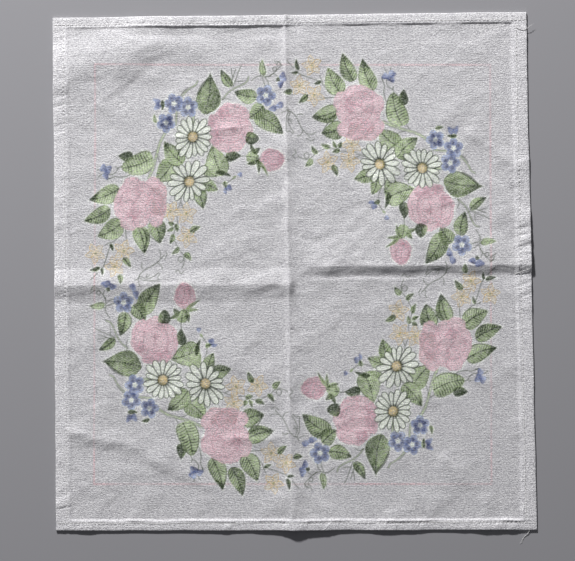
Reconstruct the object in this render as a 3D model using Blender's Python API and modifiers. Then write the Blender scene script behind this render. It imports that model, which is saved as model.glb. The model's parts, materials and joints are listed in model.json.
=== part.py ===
"""Printed table napkin, spread out flat after being pressed into folds.

The woven cloth is four full-width strips that meet at three creases.  Its border is turned
twice to the back and sewn with a lockstitch, so each seam is a needle thread on the printed
face and a bobbin thread on the back.  +X runs across the cloth, +Y to its top edge, +Z up out
of the printed face, and the table is at Z = 0.
"""
import math

import bmesh
import bpy
from mathutils import Vector

# Driving dimensions, in metres.
CLOTH_WIDTH = 0.398             # across, hem edge to hem edge
CLOTH_LENGTH = 0.430            # along, hem edge to hem edge
FABRIC_THICKNESS = 0.00035      # one ply of plain-woven cotton
SIDE_HEM_WIDTH = 0.0105         # left and right hems
END_HEM_WIDTH = 0.0078          # top and bottom hems
HEM_RAMP_WIDTH = 0.0040         # the face comes down from a hem to the table over this
RAW_EDGE_MARGIN = 0.0020        # tucked raw edge to the hem's outer fold
SEAM_INSET = 0.0015             # seam line to the hem's inner fold
NEEDLE_THREAD_DIAMETER = 0.00035
BOBBIN_THREAD_DIAMETER = 0.00025
TAIL_DIAMETER = 0.00045         # a cut end of the needle thread, which has untwisted
MIDDLE_CREASE_SHIFT = -0.0065   # middle crease from the cloth's half length
OUTER_CREASE_SPACING = 0.1265   # each outer crease from the middle one
PLY_CLEARANCE = 0.00015         # between the two turned plies of one hem
PIECE_CLEARANCE = 0.0003        # between neighbouring pieces
CREASE_CLEARANCE = 0.0006       # between two strips
FOLD_CLEARANCE = 0.0016         # between the borders of two strips folded together
TAIL_LIFT = 0.0001              # a loose thread end barely touches the table
CORNER_TAIL_REACH = 0.0110      # the corner thread end, past the bottom edge

# Heights of the plies over the table, from the bottom up.
TURNED_PLY_Z = BOBBIN_THREAD_DIAMETER + PIECE_CLEARANCE + FABRIC_THICKNESS / 2
TUCKED_PLY_Z = TURNED_PLY_Z + FABRIC_THICKNESS + PLY_CLEARANCE
BORDER_RISE = TUCKED_PLY_Z + FABRIC_THICKNESS / 2 + PIECE_CLEARANCE
BORDER_TOP = BORDER_RISE + FABRIC_THICKNESS
NEEDLE_Z = BORDER_TOP + PIECE_CLEARANCE + NEEDLE_THREAD_DIAMETER / 2
TAIL_Z = BORDER_TOP + PIECE_CLEARANCE + TAIL_DIAMETER / 2
SEWN_HEIGHT = TAIL_Z + TAIL_DIAMETER / 2

# The creases, and the hinge lines over them: an outer fold clears one sewn border laid on
# another, and the middle fold clears two folded strips.
OUTER_HINGE_Z = SEWN_HEIGHT + FOLD_CLEARANCE / 2
MIDDLE_HINGE_Z = 2 * OUTER_HINGE_Z + FOLD_CLEARANCE / 2
CLOTH_CENTRE_Y = CORNER_TAIL_REACH / 2
BOTTOM_Y = CLOTH_CENTRE_Y - CLOTH_LENGTH / 2
TOP_Y = CLOTH_CENTRE_Y + CLOTH_LENGTH / 2
MIDDLE_CREASE_Y = CLOTH_CENTRE_Y + MIDDLE_CREASE_SHIFT
LOWER_CREASE_Y = MIDDLE_CREASE_Y - OUTER_CREASE_SPACING
UPPER_CREASE_Y = MIDDLE_CREASE_Y + OUTER_CREASE_SPACING

HALF_WIDTH = CLOTH_WIDTH / 2
SIDE_SEAM_X = HALF_WIDTH - SIDE_HEM_WIDTH + SEAM_INSET
END_SEAM_INSET = END_HEM_WIDTH - SEAM_INSET


def clear_scene():
    for old in list(bpy.data.objects):
        bpy.data.objects.remove(old, do_unlink=True)


def add_material(name, color, roughness):
    material = bpy.data.materials.new(name)
    material.use_nodes = True
    surface = material.node_tree.nodes["Principled BSDF"]
    surface.inputs["Base Color"].default_value = (*color, 1.0)
    surface.inputs["Roughness"].default_value = roughness
    surface.inputs["Metallic"].default_value = 0.0
    return material


def add_collection(name):
    collection = bpy.data.collections.new(name)
    bpy.context.scene.collection.children.link(collection)
    return collection


def add_hinge(name, y, z):
    """An empty on a fold's axis, which runs along X."""
    hinge = bpy.data.objects.new(name, None)
    hinge.empty_display_size = 0.02
    hinge.location = (0.0, y, z)
    napkin.objects.link(hinge)
    return hinge


def add_piece(name, data, material, hinge, location=(0.0, 0.0, 0.0), turn=(0.0, 0.0, 0.0)):
    """One named piece at a world place, which moves with its strip's hinge."""
    piece = bpy.data.objects.new(name, data)
    piece.location = location
    piece.rotation_euler = turn
    if hinge is not None:
        piece.parent = hinge
        piece.location = Vector(location) - hinge.matrix_basis.translation
    data.materials.append(material)
    napkin.objects.link(piece)
    return piece


def add_ply(piece, offset):
    """Gives an open surface the thickness of the fabric."""
    ply = piece.modifiers.new("fabric thickness", "SOLIDIFY")
    ply.thickness = FABRIC_THICKNESS
    ply.offset = offset
    ply.use_even_offset = True


def ramp(distance_in, hem_width):
    """Share of the border's rise at a distance in from an outer edge."""
    past_hem = distance_in - (hem_width + PIECE_CLEARANCE)
    return 1.0 - min(max(past_hem / HEM_RAMP_WIDTH, 0.0), 1.0)


def add_panel(strip):
    """The printed face of one strip: flat on the table, and up over its hems."""
    low, high = strip["low"], strip["high"]
    outline = bmesh.new()
    bmesh.ops.create_grid(outline, x_segments=1, y_segments=1, size=0.5)
    bmesh.ops.scale(outline, vec=(CLOTH_WIDTH, high - low, 1.0), verts=outline.verts)
    bmesh.ops.translate(outline, vec=(0.0, (low + high) / 2, 0.0), verts=outline.verts)

    side_breaks = [SIDE_HEM_WIDTH + PIECE_CLEARANCE]
    side_breaks.append(side_breaks[0] + HEM_RAMP_WIDTH)
    end_breaks = [END_HEM_WIDTH + PIECE_CLEARANCE]
    end_breaks.append(end_breaks[0] + HEM_RAMP_WIDTH)
    cuts = [((side * (HALF_WIDTH - reach), 0.0, 0.0), (1, 0, 0))
            for side in (-1, 1) for reach in side_breaks]
    if strip["hemmed"] == "bottom":
        cuts += [((0.0, BOTTOM_Y + reach, 0.0), (0, 1, 0)) for reach in end_breaks]
    if strip["hemmed"] == "top":
        cuts += [((0.0, TOP_Y - reach, 0.0), (0, 1, 0)) for reach in end_breaks]
    for point, normal in cuts:
        everything = outline.verts[:] + outline.edges[:] + outline.faces[:]
        bmesh.ops.bisect_plane(outline, geom=everything, plane_co=point, plane_no=normal)

    for vert in outline.verts:
        share = ramp(HALF_WIDTH - abs(vert.co.x), SIDE_HEM_WIDTH)
        if strip["hemmed"] == "bottom":
            share = max(share, ramp(vert.co.y - BOTTOM_Y, END_HEM_WIDTH))
        if strip["hemmed"] == "top":
            share = max(share, ramp(TOP_Y - vert.co.y, END_HEM_WIDTH))
        vert.co.z = BORDER_RISE * share
    panel = bpy.data.meshes.new(strip["name"] + "_panel")
    outline.to_mesh(panel)
    outline.free()
    hinge = strip["hinge"]
    if hinge is not None:
        panel.transform(hinge.matrix_basis.inverted())
    piece = bpy.data.objects.new(strip["name"] + "_panel", panel)
    piece.parent = hinge
    panel.materials.append(printed_cotton)
    napkin.objects.link(piece)
    add_ply(piece, offset=1.0)


def add_hem(name, hem_width, length, edge_centre, heading, hinge):
    """A border turned twice to the back: out to the edge, under, in, and tucked back."""
    inner_fold = hem_width - FABRIC_THICKNESS / 2
    section = [(0.0, TURNED_PLY_Z), (inner_fold, TURNED_PLY_Z),
               (inner_fold, TUCKED_PLY_Z), (RAW_EDGE_MARGIN, TUCKED_PLY_Z)]
    profile = bpy.data.curves.new(name, "CURVE")
    profile.dimensions = "2D"
    profile.extrude = length / 2
    spline = profile.splines.new("POLY")
    spline.points.add(len(section) - 1)
    for point, (inward, height) in zip(spline.points, section):
        point.co = (inward, height, 0.0, 1.0)
    hem = add_piece(name, profile, plain_cotton, hinge, edge_centre, (math.pi / 2, 0.0, heading))
    add_ply(hem, offset=0.0)


def add_thread(name, points, diameter, hinge):
    """A round thread along straight or curved points."""
    thread = bpy.data.curves.new(name, "CURVE")
    thread.dimensions = "3D"
    thread.bevel_depth = diameter / 2
    thread.bevel_resolution = 2
    thread.use_fill_caps = True
    spline = thread.splines.new("POLY")
    spline.points.add(len(points) - 1)
    start = Vector(points[0])
    for point, place in zip(spline.points, points):
        point.co = (*(Vector(place) - start), 1.0)
    add_piece(name, thread, sewing_cotton, hinge, points[0])


def add_seam(name, start, end, hinge):
    """One lockstitch seam: its needle thread on the face and its bobbin thread behind."""
    bobbin_z = BOBBIN_THREAD_DIAMETER / 2
    for thread, z, diameter in (("needle_thread", NEEDLE_Z, NEEDLE_THREAD_DIAMETER),
                                ("bobbin_thread", bobbin_z, BOBBIN_THREAD_DIAMETER)):
        add_thread(name + "_" + thread, [(*start, z), (*end, z)], diameter, hinge)


def smooth_route(knots, steps):
    """Points of a smooth curve through the knots (Catmull-Rom)."""
    padded = [2 * knots[0] - knots[1], *knots, 2 * knots[-1] - knots[-2]]
    route = []
    for before, start, end, after in zip(padded, padded[1:], padded[2:], padded[3:]):
        for step in range(steps):
            t = step / steps
            route.append(0.5 * (2 * start + (end - before) * t
                                + (2 * before - 5 * start + 4 * end - after) * t ** 2
                                + (3 * start - before - 3 * end + after) * t ** 3))
    return route + [knots[-1]]


def add_tail(name, knots, hinge):
    """A loose end of sewing thread that lies where the seam was cut off."""
    route = smooth_route([Vector(knot) for knot in knots], steps=4)
    add_thread(name, [tuple(point) for point in route], TAIL_DIAMETER, hinge)


clear_scene()
napkin = add_collection("printed_napkin")
printed_cotton = add_material("printed_cotton", (0.74, 0.73, 0.76), 0.9)
plain_cotton = add_material("plain_cotton", (0.78, 0.77, 0.79), 0.9)
sewing_cotton = add_material("sewing_cotton", (0.86, 0.85, 0.85), 0.7)

bottom_fold = add_hinge("bottom_fold", LOWER_CREASE_Y, OUTER_HINGE_Z)
middle_fold = add_hinge("middle_fold", MIDDLE_CREASE_Y, MIDDLE_HINGE_Z)
top_fold = add_hinge("top_fold", UPPER_CREASE_Y, OUTER_HINGE_Z)

half_crease = CREASE_CLEARANCE / 2
strips = [
    {"name": "lower_edge", "low": BOTTOM_Y, "high": LOWER_CREASE_Y - half_crease,
     "hemmed": "bottom", "hinge": bottom_fold},
    {"name": "lower_middle", "low": LOWER_CREASE_Y + half_crease,
     "high": MIDDLE_CREASE_Y - half_crease, "hemmed": None, "hinge": None},
    {"name": "upper_middle", "low": MIDDLE_CREASE_Y + half_crease,
     "high": UPPER_CREASE_Y - half_crease, "hemmed": None, "hinge": middle_fold},
    {"name": "upper_edge", "low": UPPER_CREASE_Y + half_crease, "high": TOP_Y,
     "hemmed": "top", "hinge": top_fold},
]

# The four printed strips, with the left and right hems and seams of each.
for strip in strips:
    add_panel(strip)
    hem_low, hem_high = strip["low"], strip["high"]
    if strip["hemmed"] == "bottom":
        hem_low += END_HEM_WIDTH + PIECE_CLEARANCE
    if strip["hemmed"] == "top":
        hem_high -= END_HEM_WIDTH + PIECE_CLEARANCE
    hem_middle = (hem_low + hem_high) / 2
    for side, sign, heading in (("left", -1, 0.0), ("right", 1, math.pi)):
        label = side + "_" + strip["name"]
        add_hem(label + "_hem", SIDE_HEM_WIDTH, hem_high - hem_low,
                (sign * HALF_WIDTH, hem_middle, 0.0), heading, strip["hinge"])
        seam_x = sign * SIDE_SEAM_X
        add_seam(label, (seam_x, hem_low), (seam_x, hem_high), strip["hinge"])

# The bottom and top hems run the full width, over the ends of the side hems.
for side, edge_y, inward, heading, hinge in (
        ("bottom", BOTTOM_Y, 1, math.pi / 2, bottom_fold),
        ("top", TOP_Y, -1, -math.pi / 2, top_fold)):
    add_hem(side + "_hem", END_HEM_WIDTH, CLOTH_WIDTH, (0.0, edge_y, 0.0), heading, hinge)
    seam_y = edge_y + inward * END_SEAM_INSET
    add_seam(side, (-HALF_WIDTH, seam_y), (HALF_WIDTH, seam_y), hinge)

# Three thread ends: one hangs out of the bottom right corner, two lie on the right hem.
tail_radius = TAIL_DIAMETER / 2
corner_exit_y = BOTTOM_Y - PIECE_CLEARANCE - tail_radius
corner_end_y = BOTTOM_Y - CORNER_TAIL_REACH + tail_radius
corner_drop = corner_exit_y - corner_end_y
table_z = tail_radius + TAIL_LIFT
add_tail("corner_thread_tail",
         [(HALF_WIDTH - 0.0030, corner_exit_y, TURNED_PLY_Z),
          (HALF_WIDTH - 0.0042, corner_exit_y - 0.22 * corner_drop, table_z + 0.0004),
          (HALF_WIDTH - 0.0072, corner_exit_y - 0.48 * corner_drop, table_z),
          (HALF_WIDTH - 0.0094, corner_exit_y - 0.75 * corner_drop, table_z),
          (HALF_WIDTH - 0.0104, corner_end_y, table_z)], bottom_fold)
tail_start_x = SIDE_SEAM_X + NEEDLE_THREAD_DIAMETER / 2 + PIECE_CLEARANCE + tail_radius
tail_end_x = HALF_WIDTH - tail_radius
tail_run = tail_end_x - tail_start_x
top_tail_y = TOP_Y - END_HEM_WIDTH - PIECE_CLEARANCE
add_tail("top_thread_tail",
         [(tail_start_x, top_tail_y, TAIL_Z),
          (tail_start_x + 0.4 * tail_run, top_tail_y - 0.0010, TAIL_Z),
          (tail_end_x, top_tail_y - 0.0042, TAIL_Z)], top_fold)
side_tail_y = MIDDLE_CREASE_Y + 0.0100
add_tail("side_thread_tail",
         [(tail_start_x, side_tail_y, TAIL_Z),
          (tail_start_x + 0.5 * tail_run, side_tail_y + 0.0007, TAIL_Z),
          (tail_end_x, side_tail_y - 0.0003, TAIL_Z)], middle_fold)
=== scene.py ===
"""A printed cotton table napkin, spread out flat after lying folded.

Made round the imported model: the woven cloth with its relief and its print, the turned hems, the
lockstitch seams and the loose thread ends.  Lengths are in metres, except in the print, whose
motif is drawn in millimetres from the middle of its wreath.
"""
import json
import math

import bpy
import numpy as np
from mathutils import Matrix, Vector


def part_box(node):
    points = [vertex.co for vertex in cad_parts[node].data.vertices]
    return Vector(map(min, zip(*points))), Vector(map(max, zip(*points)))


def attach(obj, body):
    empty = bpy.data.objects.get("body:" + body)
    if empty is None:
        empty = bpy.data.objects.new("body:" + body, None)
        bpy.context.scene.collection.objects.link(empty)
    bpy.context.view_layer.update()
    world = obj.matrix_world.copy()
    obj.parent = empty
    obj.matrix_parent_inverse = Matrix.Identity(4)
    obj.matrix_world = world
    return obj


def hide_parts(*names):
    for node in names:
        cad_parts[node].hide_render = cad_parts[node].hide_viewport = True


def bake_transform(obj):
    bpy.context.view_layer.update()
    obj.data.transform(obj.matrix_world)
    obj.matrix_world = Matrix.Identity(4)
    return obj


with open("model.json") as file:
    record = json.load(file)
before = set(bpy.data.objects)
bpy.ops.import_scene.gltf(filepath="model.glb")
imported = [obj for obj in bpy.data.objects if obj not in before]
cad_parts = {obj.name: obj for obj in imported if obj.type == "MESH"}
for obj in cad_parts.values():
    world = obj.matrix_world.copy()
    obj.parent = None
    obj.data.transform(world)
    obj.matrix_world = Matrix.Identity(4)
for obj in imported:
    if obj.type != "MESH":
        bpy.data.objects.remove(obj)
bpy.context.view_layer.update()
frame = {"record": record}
bpy.ops.object.select_all(action="DESELECT")

# ---- Camera ----
# It looks down on the napkin from just short of straight above, as a hand-held picture of a
# cloth on a table does, with the cloth filling most of the view.
CAMERA_DISTANCE = 1.50
CAMERA_ELEVATION = math.radians(88.4)
VIEW_WIDTH = 0.4790                  # what the view takes in across the cloth
SENSOR_WIDTH = 36.0
view_centre = Vector((-0.0046, -0.0018, 0.0))

camera_data = bpy.data.cameras.new("camera")
camera_data.sensor_width = SENSOR_WIDTH
camera_data.lens = SENSOR_WIDTH * CAMERA_DISTANCE / VIEW_WIDTH
camera = bpy.data.objects.new("camera", camera_data)
camera_arm = Vector((0.0, -math.cos(CAMERA_ELEVATION), math.sin(CAMERA_ELEVATION)))
camera.location = view_centre + camera_arm * CAMERA_DISTANCE
camera.rotation_euler = (math.pi / 2 - CAMERA_ELEVATION, 0.0, 0.0)
bpy.context.scene.collection.objects.link(camera)
bpy.context.scene.camera = camera

# ---- The woven cloth: how it lies ----
# One piece of plain-woven cotton.  It was folded up the middle, then across the middle, then
# once more, and pressed, so it lies with four creases, loose waves between them, and a border
# that stands up over the turned hems, puckered by the stitching.
FABRIC = 0.00035
TABLE_GAP = 0.0009                   # the cloth's mean stand-off from the table
BORDER_FLOOR = 0.00165               # the least height of the face over a hem
SIDE_RISE = 0.0005
SIDE_RAMP = 0.0040
END_RISE = 0.0008
END_RAMP = 0.0022
EDGE_ROLL = 0.0009                   # radius of the hem's outer fold
SEAM_INSET = 0.0015                  # seam line to the hem's inner fold
STITCH_LENGTH = 0.0033
FOLDED_ROOM = 0.0067                 # two faces folded together share this much height
LATTICE = 128                        # random values along each side of a noise lattice

hinges = {joint["name"]: Vector(joint["pos_m"])
          for joint in frame["record"]["behaviour"]["joints"]}
left_low, left_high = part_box("left_lower_middle_hem")
right_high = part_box("right_lower_middle_hem")[1]
bottom_low, bottom_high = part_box("bottom_hem")
top_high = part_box("top_hem")[1]
half_width = (right_high.x - left_low.x) / 2
half_length = (top_high.y - bottom_low.y) / 2
cloth_centre = Vector(((right_high.x + left_low.x) / 2, (top_high.y + bottom_low.y) / 2, 0.0))
side_hem = left_high.x - left_low.x
end_hem = bottom_high.y - bottom_low.y
side_seam = side_hem - SEAM_INSET
end_seam = end_hem - SEAM_INSET
upper_crease = hinges["top_fold"].y - cloth_centre.y
middle_crease = hinges["middle_fold"].y - cloth_centre.y
lower_crease = hinges["bottom_fold"].y - cloth_centre.y


def ease(share):
    share = np.clip(share, 0.0, 1.0)
    return share * share * (3.0 - 2.0 * share)


def ripple(x, y, cell, seed):
    """Smooth random relief between -1 and 1, with a new value every cell."""
    lattice = np.random.default_rng(seed).uniform(-1.0, 1.0, (LATTICE, LATTICE))
    u, v = x / cell + LATTICE / 2, y / cell + LATTICE / 2
    i, j = np.floor(u).astype(int), np.floor(v).astype(int)
    fu, fv = ease(u - i), ease(v - j)
    i, j = i % LATTICE, j % LATTICE
    i_next, j_next = (i + 1) % LATTICE, (j + 1) % LATTICE
    near = lattice[i, j] * (1 - fu) + lattice[i_next, j] * fu
    far = lattice[i, j_next] * (1 - fu) + lattice[i_next, j_next] * fu
    return near * (1 - fv) + far * fv


def turned(x, y, heading):
    """Distances along a heading in degrees, and to its left."""
    cos, sin = math.cos(math.radians(heading)), math.sin(math.radians(heading))
    return x * cos + y * sin, y * cos - x * sin


def crest(distance, before, after, height, sharpness=0.0005):
    """A pressed crest, or with a negative height a valley, that dies away on either side."""
    reach = np.where(distance < 0.0, before, after)
    away = np.sqrt(distance ** 2 + sharpness ** 2) - sharpness
    return height * np.exp(-away / reach)


def ramp(distance, low, high):
    """A straight slope from 0 at one place to 1 at another, with slightly rounded ends."""
    share = np.clip((distance - low) / (high - low), 0.0, 1.0)
    return 0.75 * share + 0.25 * ease(share)


def part_of(along, start, end):
    """1 between two places and nearly 0 elsewhere."""
    return 0.18 + 0.82 * ease((along - start) / 0.02 + 0.5) * ease((end - along) / 0.02 + 0.5)


def wave(x, y, start, end, width, height, lean=1.0):
    """A soft fold along a line, with tapered ends, and `lean` times as wide on its left."""
    run = np.array(end) - np.array(start)
    length = math.hypot(*run)
    along = ((x - start[0]) * run[0] + (y - start[1]) * run[1]) / length
    across = ((y - start[1]) * run[0] - (x - start[0]) * run[1]) / length
    taper = ease(along / (0.3 * length) + 0.5) * ease((length - along) / (0.3 * length) + 0.5)
    away = across / np.where(across > 0.0, lean * width, width)
    return height * taper * np.exp(1.0 - np.sqrt(1.0 + 2.0 * away ** 2))


# Soft folds: start, end, half width, height and lean.
WAVES = [
    ((-0.205, 0.160), (-0.085, 0.202), 0.0170, 0.0044, 1.3),
    ((-0.180, 0.128), (-0.130, 0.168), 0.0050, 0.0005, 0.6),
    ((-0.150, 0.146), (-0.105, 0.182), 0.0045, -0.0005),
    ((-0.135, 0.199), (-0.012, 0.200), 0.0045, -0.0011),
    ((0.020, 0.196), (0.150, 0.199), 0.0050, -0.0006),
    ((0.143, 0.118), (0.199, 0.078), 0.0060, 0.0012),
    ((0.150, 0.095), (0.199, 0.055), 0.0050, -0.0008),
    ((-0.188, -0.132), (-0.130, -0.146), 0.0050, 0.0012),
    ((-0.185, -0.150), (-0.120, -0.160), 0.0060, -0.0007),
    ((-0.125, -0.152), (-0.070, -0.178), 0.0060, 0.0010),
    ((0.118, -0.150), (0.165, -0.196), 0.0070, 0.0013),
    ((0.150, -0.140), (0.185, -0.180), 0.0070, -0.0006),
    ((-0.010, -0.235), (0.010, -0.178), 0.0200, 0.0019),
    ((0.150, -0.215), (0.196, -0.200), 0.0090, 0.0012),
    ((0.035, 0.030), (0.110, 0.060), 0.0100, 0.0008),
    ((-0.120, 0.040), (-0.050, 0.075), 0.0110, -0.0007),
    ((-0.080, -0.060), (-0.020, -0.090), 0.0100, 0.0007),
    ((0.040, -0.070), (0.120, -0.050), 0.0100, -0.0007),
    ((-0.050, 0.045), (-0.010, 0.062), 0.0040, 0.0006),
    ((-0.165, 0.060), (-0.115, 0.025), 0.0060, 0.0006),
]

# Fields of small creases: heading in degrees, length over width, cell, height and seed.
WRINKLES = [(18, 3.2, 0.0085, 0.00028, 61), (-24, 3.0, 0.0100, 0.00028, 62),
            (44, 2.6, 0.0120, 0.00032, 63), (-50, 2.4, 0.0130, 0.00028, 64),
            (38, 2.2, 0.0220, 0.00050, 67), (-28, 2.2, 0.0190, 0.00040, 68),
            (4, 4.0, 0.0042, 0.00011, 65), (-14, 3.0, 0.0032, 0.00009, 66),
            (40, 2.0, 0.0022, 0.00005, 69)]


def border_distances(x, y):
    """How far in a place is from the nearer side edge and the nearer end edge."""
    return half_width - np.abs(x), half_length - np.abs(y)


# The cloth was never quite square: how far each corner lies from the true one, (x, y).
CORNER_DRIFT = {(-1, 1): (-0.0018, -0.0028), (1, 1): (-0.0041, 0.0022),
                (-1, -1): (0.0024, 0.0000), (1, -1): (0.0034, 0.0007)}


def drifted(x, y):
    """Where a place on the square cloth has really come to lie."""
    u, v = x / half_width, y / half_length
    x_out = x + 0.00035 * ripple(x, y, 0.019, 31)
    y_out = y + 0.00035 * ripple(x, y, 0.019, 32)
    for (side, end), (dx, dy) in CORNER_DRIFT.items():
        share = (1 + side * u) * (1 + end * v) / 4
        x_out = x_out + dx * share
        y_out = y_out + dy * share
    return x_out, y_out


def folded_onto(x, y):
    """The place that comes to lie against this one when the outer lengths are folded in."""
    crease = np.where(y < 0.0, lower_crease, upper_crease)
    x_here, y_here = drifted(x, y)
    x_there, y_there = drifted(x, 2.0 * crease - y)
    return x + x_here - x_there, 4.0 * crease - y - y_here - y_there


def border_shares(x, y):
    """1 over the side and the end hems, falling to 0 past their inner folds."""
    from_side, from_end = border_distances(x, y)
    return (1.0 - ease((from_side - side_hem) / SIDE_RAMP),
            1.0 - ease((from_end - end_hem) / END_RAMP))


def pressed_relief(x, y):
    """The creases that the folded cloth was pressed into."""
    right = ease((x + 0.004) / 0.008)
    left = 1.0 - right
    wander = ripple(x, y, 0.030, 11)
    relief = crest(x + 0.0036 + 0.0005 * wander, 0.0022, 0.0068, 0.0024 + 0.0005 * wander)

    # Across the middle the two halves were pressed opposite ways.
    across = y - middle_crease - 0.0004 * ripple(x, y, 0.022, 12)
    hump = ramp(across, 0.0105, -0.0038) * ramp(across, -0.0190, -0.0042)
    relief += left * 0.0029 * hump
    terrace = ramp(across, 0.0018, 0.0108) * np.exp(-np.clip(across - 0.0108, 0, None) / 0.030)
    lip = crest(across + 0.0010, 0.0100, 0.0022, 0.0006)
    relief += right * (0.0036 * terrace + lip) * ease((x - 0.002) / 0.030)

    # The two outer creases have half come out again and show only along part of their length.
    for crease, bows, left_span, right_span in (
            (upper_crease, [-0.010, -0.007, 0.004, 0.003, -0.003, -0.006],
             (-0.112, -0.028), (0.026, 0.124)),
            (lower_crease, [0.001, -0.003, -0.007, 0.001, 0.010, 0.012],
             (-0.092, -0.012), (0.030, 0.138))):
        bow = np.interp(x, [-0.2, -0.107, -0.024, 0.033, 0.125, 0.2], bows)
        across = y - crease - bow - 0.0012 * ripple(x, y, 0.016, 13)
        faded = 0.75 + 0.25 * ripple(x, y, 0.020, 14)
        relief += left * faded * part_of(x, *left_span) * crest(across, 0.0070, 0.0032, 0.0013)
        relief -= right * faded * part_of(x, *right_span) * crest(across, 0.0032, 0.0070, 0.0013)
    return relief


def small_wrinkles(x, y):
    """Short creases in several directions, with sharper crests than troughs."""
    relief = 0.0
    for heading, stretch, cell, height, seed in WRINKLES:
        along, across = turned(x, y, heading)
        field = ripple(along / stretch, across, cell, seed)
        relief = relief + height * (0.5 * field - 0.9 * np.sqrt(field ** 2 + 0.02))
    return relief


def puckers(x, y, slant, cell, seed):
    """Slanting nips between loose puffs, as a hem twists when its edge is fed unevenly."""
    field = ripple(x * 0.10, y - slant * x, cell, seed)
    return 0.5 * field - np.exp(-(field / 0.24) ** 2) * (0.5 + 0.5 * ripple(x, y, 0.017, seed + 1))


def drawn_tight(x, y):
    """How hard the end seams draw the cloth in; most of the top one hardly does."""
    firm = ease((x + 0.143) / 0.025) * ease((0.004 - x) / 0.012)
    return 1.0 - 0.8 * (1.0 - firm) * (y > 0)


def stitch_dimples(along, across):
    """The cloth is drawn down where the needle went through, stitch by stitch."""
    from_hole = (along / STITCH_LENGTH + 0.5) % 1.0 - 0.5
    return np.exp(-(np.hypot(from_hole * STITCH_LENGTH, across) / 0.0009) ** 2)


def open_height(x, y):
    """Least height of the printed face over the table, and its further lift if left unfolded."""
    from_side, from_end = border_distances(x, y)
    side_share, end_share = border_shares(x, y)
    border = np.maximum(side_share, end_share)
    height = TABLE_GAP + FABRIC + pressed_relief(x, y)
    bent_x = x + 0.0020 * ripple(x, y, 0.024, 5)
    bent_y = y + 0.0020 * ripple(x, y, 0.024, 6)
    for soft_fold in WAVES:
        height += wave(bent_x, bent_y, *soft_fold)
    height += 0.00045 * ripple(x, y, 0.026, 3) + 0.00018 * ripple(x, y, 0.011, 4)
    height += 0.00070 * ripple((x + y) / 2.4, y - x, 0.022, 8)
    height += small_wrinkles(x, y) * (1.15 + x) * (1.0 - 0.5 * border) + 0.0003
    height += np.maximum(SIDE_RISE * side_share, END_RISE * drawn_tight(x, y) * end_share)

    fade = np.exp(-np.clip(from_side - side_seam, 0.0, None) / 0.0045)
    height += 0.00075 * puckers(x, y, 0.25, 0.0080, 21) * fade * ease(from_side / 0.002 + 0.35)
    fade = np.exp(-np.clip(from_side - side_seam, 0.0, None) / 0.011)
    height += 0.00034 * ripple(x * 0.4, y - 0.3 * x, 0.0056, 22) * fade
    fade = np.exp(-np.clip(from_end - end_seam, 0.0, None) / 0.0030)
    height += 0.00050 * puckers(y, x, 0.7, 0.0070, 23) * fade * ease(from_end / 0.002 + 0.35)

    # The seam pulls a groove beside the inner fold, and the cloth swells up behind it.
    for inward, seam, along, depth, swell, seed in (
            (from_side, side_seam, y + np.sign(x), 0.00022, 0.00010, 25),
            (from_end, end_seam, x + np.sign(y), 0.00042, 0.00046, 26)):
        tight = np.clip(0.75 + 0.75 * ripple(along, 0.0 * along, 0.045, seed), 0.0, 1.4)
        tight = tight * drawn_tight(x, y)
        height -= tight * depth * np.exp(-((inward - seam) / 0.0008) ** 2)
        height -= 0.00042 * stitch_dimples(along, inward - seam)
        height += tight * swell * np.exp(-((inward - seam - 0.0022) / 0.0012) ** 2)

    least = FABRIC + 0.0002 + border * (BORDER_FLOOR - FABRIC - 0.0002)
    return least, 0.5 * (height - least + np.sqrt((height - least) ** 2 + 0.0002 ** 2))


def cloth_height(x, y, rolled=True):
    """Height of the printed face, with the edge rolled under if asked."""
    least, lift = open_height(x, y)
    x_facing, y_facing = folded_onto(x, y)
    facing_least, facing_lift = open_height(x_facing, y_facing)
    over = least + lift + facing_least + facing_lift - FOLDED_ROOM
    over = 0.5 * (over + np.sqrt(over ** 2 + 0.0003 ** 2))
    over = np.minimum(over, lift + facing_lift) * (np.abs(y_facing) < half_length + 0.004)
    height = least + lift - over * lift / (lift + facing_lift)
    if rolled:
        from_side, from_end = border_distances(x, y)
        over = np.clip(1.0 - np.minimum(from_side, from_end) / EDGE_ROLL, 0.0, 1.0)
        height -= 3 * FABRIC * (1.0 - np.sqrt(1.0 - over ** 2))
    return height


def place(x, y, z):
    """World points for places on the cloth and a height over the table."""
    x, y = drifted(x, y)
    return np.stack([x + cloth_centre.x, y + cloth_centre.y, z + cloth_centre.z], axis=-1)


# ---- The woven cloth: its print ----
# A four-part wreath in pigment colours, on a white ground, with a thin pink frame round it.
# One quarter of the wreath is drawn and turned four times.  Each dye is given as the colour it
# shows on this cloth, and is kept as a tint of the bare cloth, which the weave shows through.
BARE_CLOTH = (194, 192, 199)
PRINT_CENTRE = (-0.0002, -0.0017)
PRINT_SHRINK = 0.9446                # the cloth has shrunk across since it was printed
PRINT_EDGE = 0.60                    # the dye's soft edge, in mm
LINE = 0.72                          # a drawn line's width, in mm
THIN_LINE = 0.70
GROUND_REACH = 2.4                   # how far the white ground shows past an outline, in mm
GROUND_STRENGTH = 0.50
VEIN_SPACING = 2.40                  # between a leaf's drawn veins, in mm
SHOW_THROUGH = 0.22                  # how much of the print shows on the back


def linear(channel):
    channel = channel / 255.0
    return channel / 12.92 if channel <= 0.04045 else ((channel + 0.055) / 1.055) ** 2.4


def dye(red, green, blue):
    return np.array([linear(seen) / linear(bare)
                     for seen, bare in zip((red, green, blue), BARE_CLOTH)])


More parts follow.
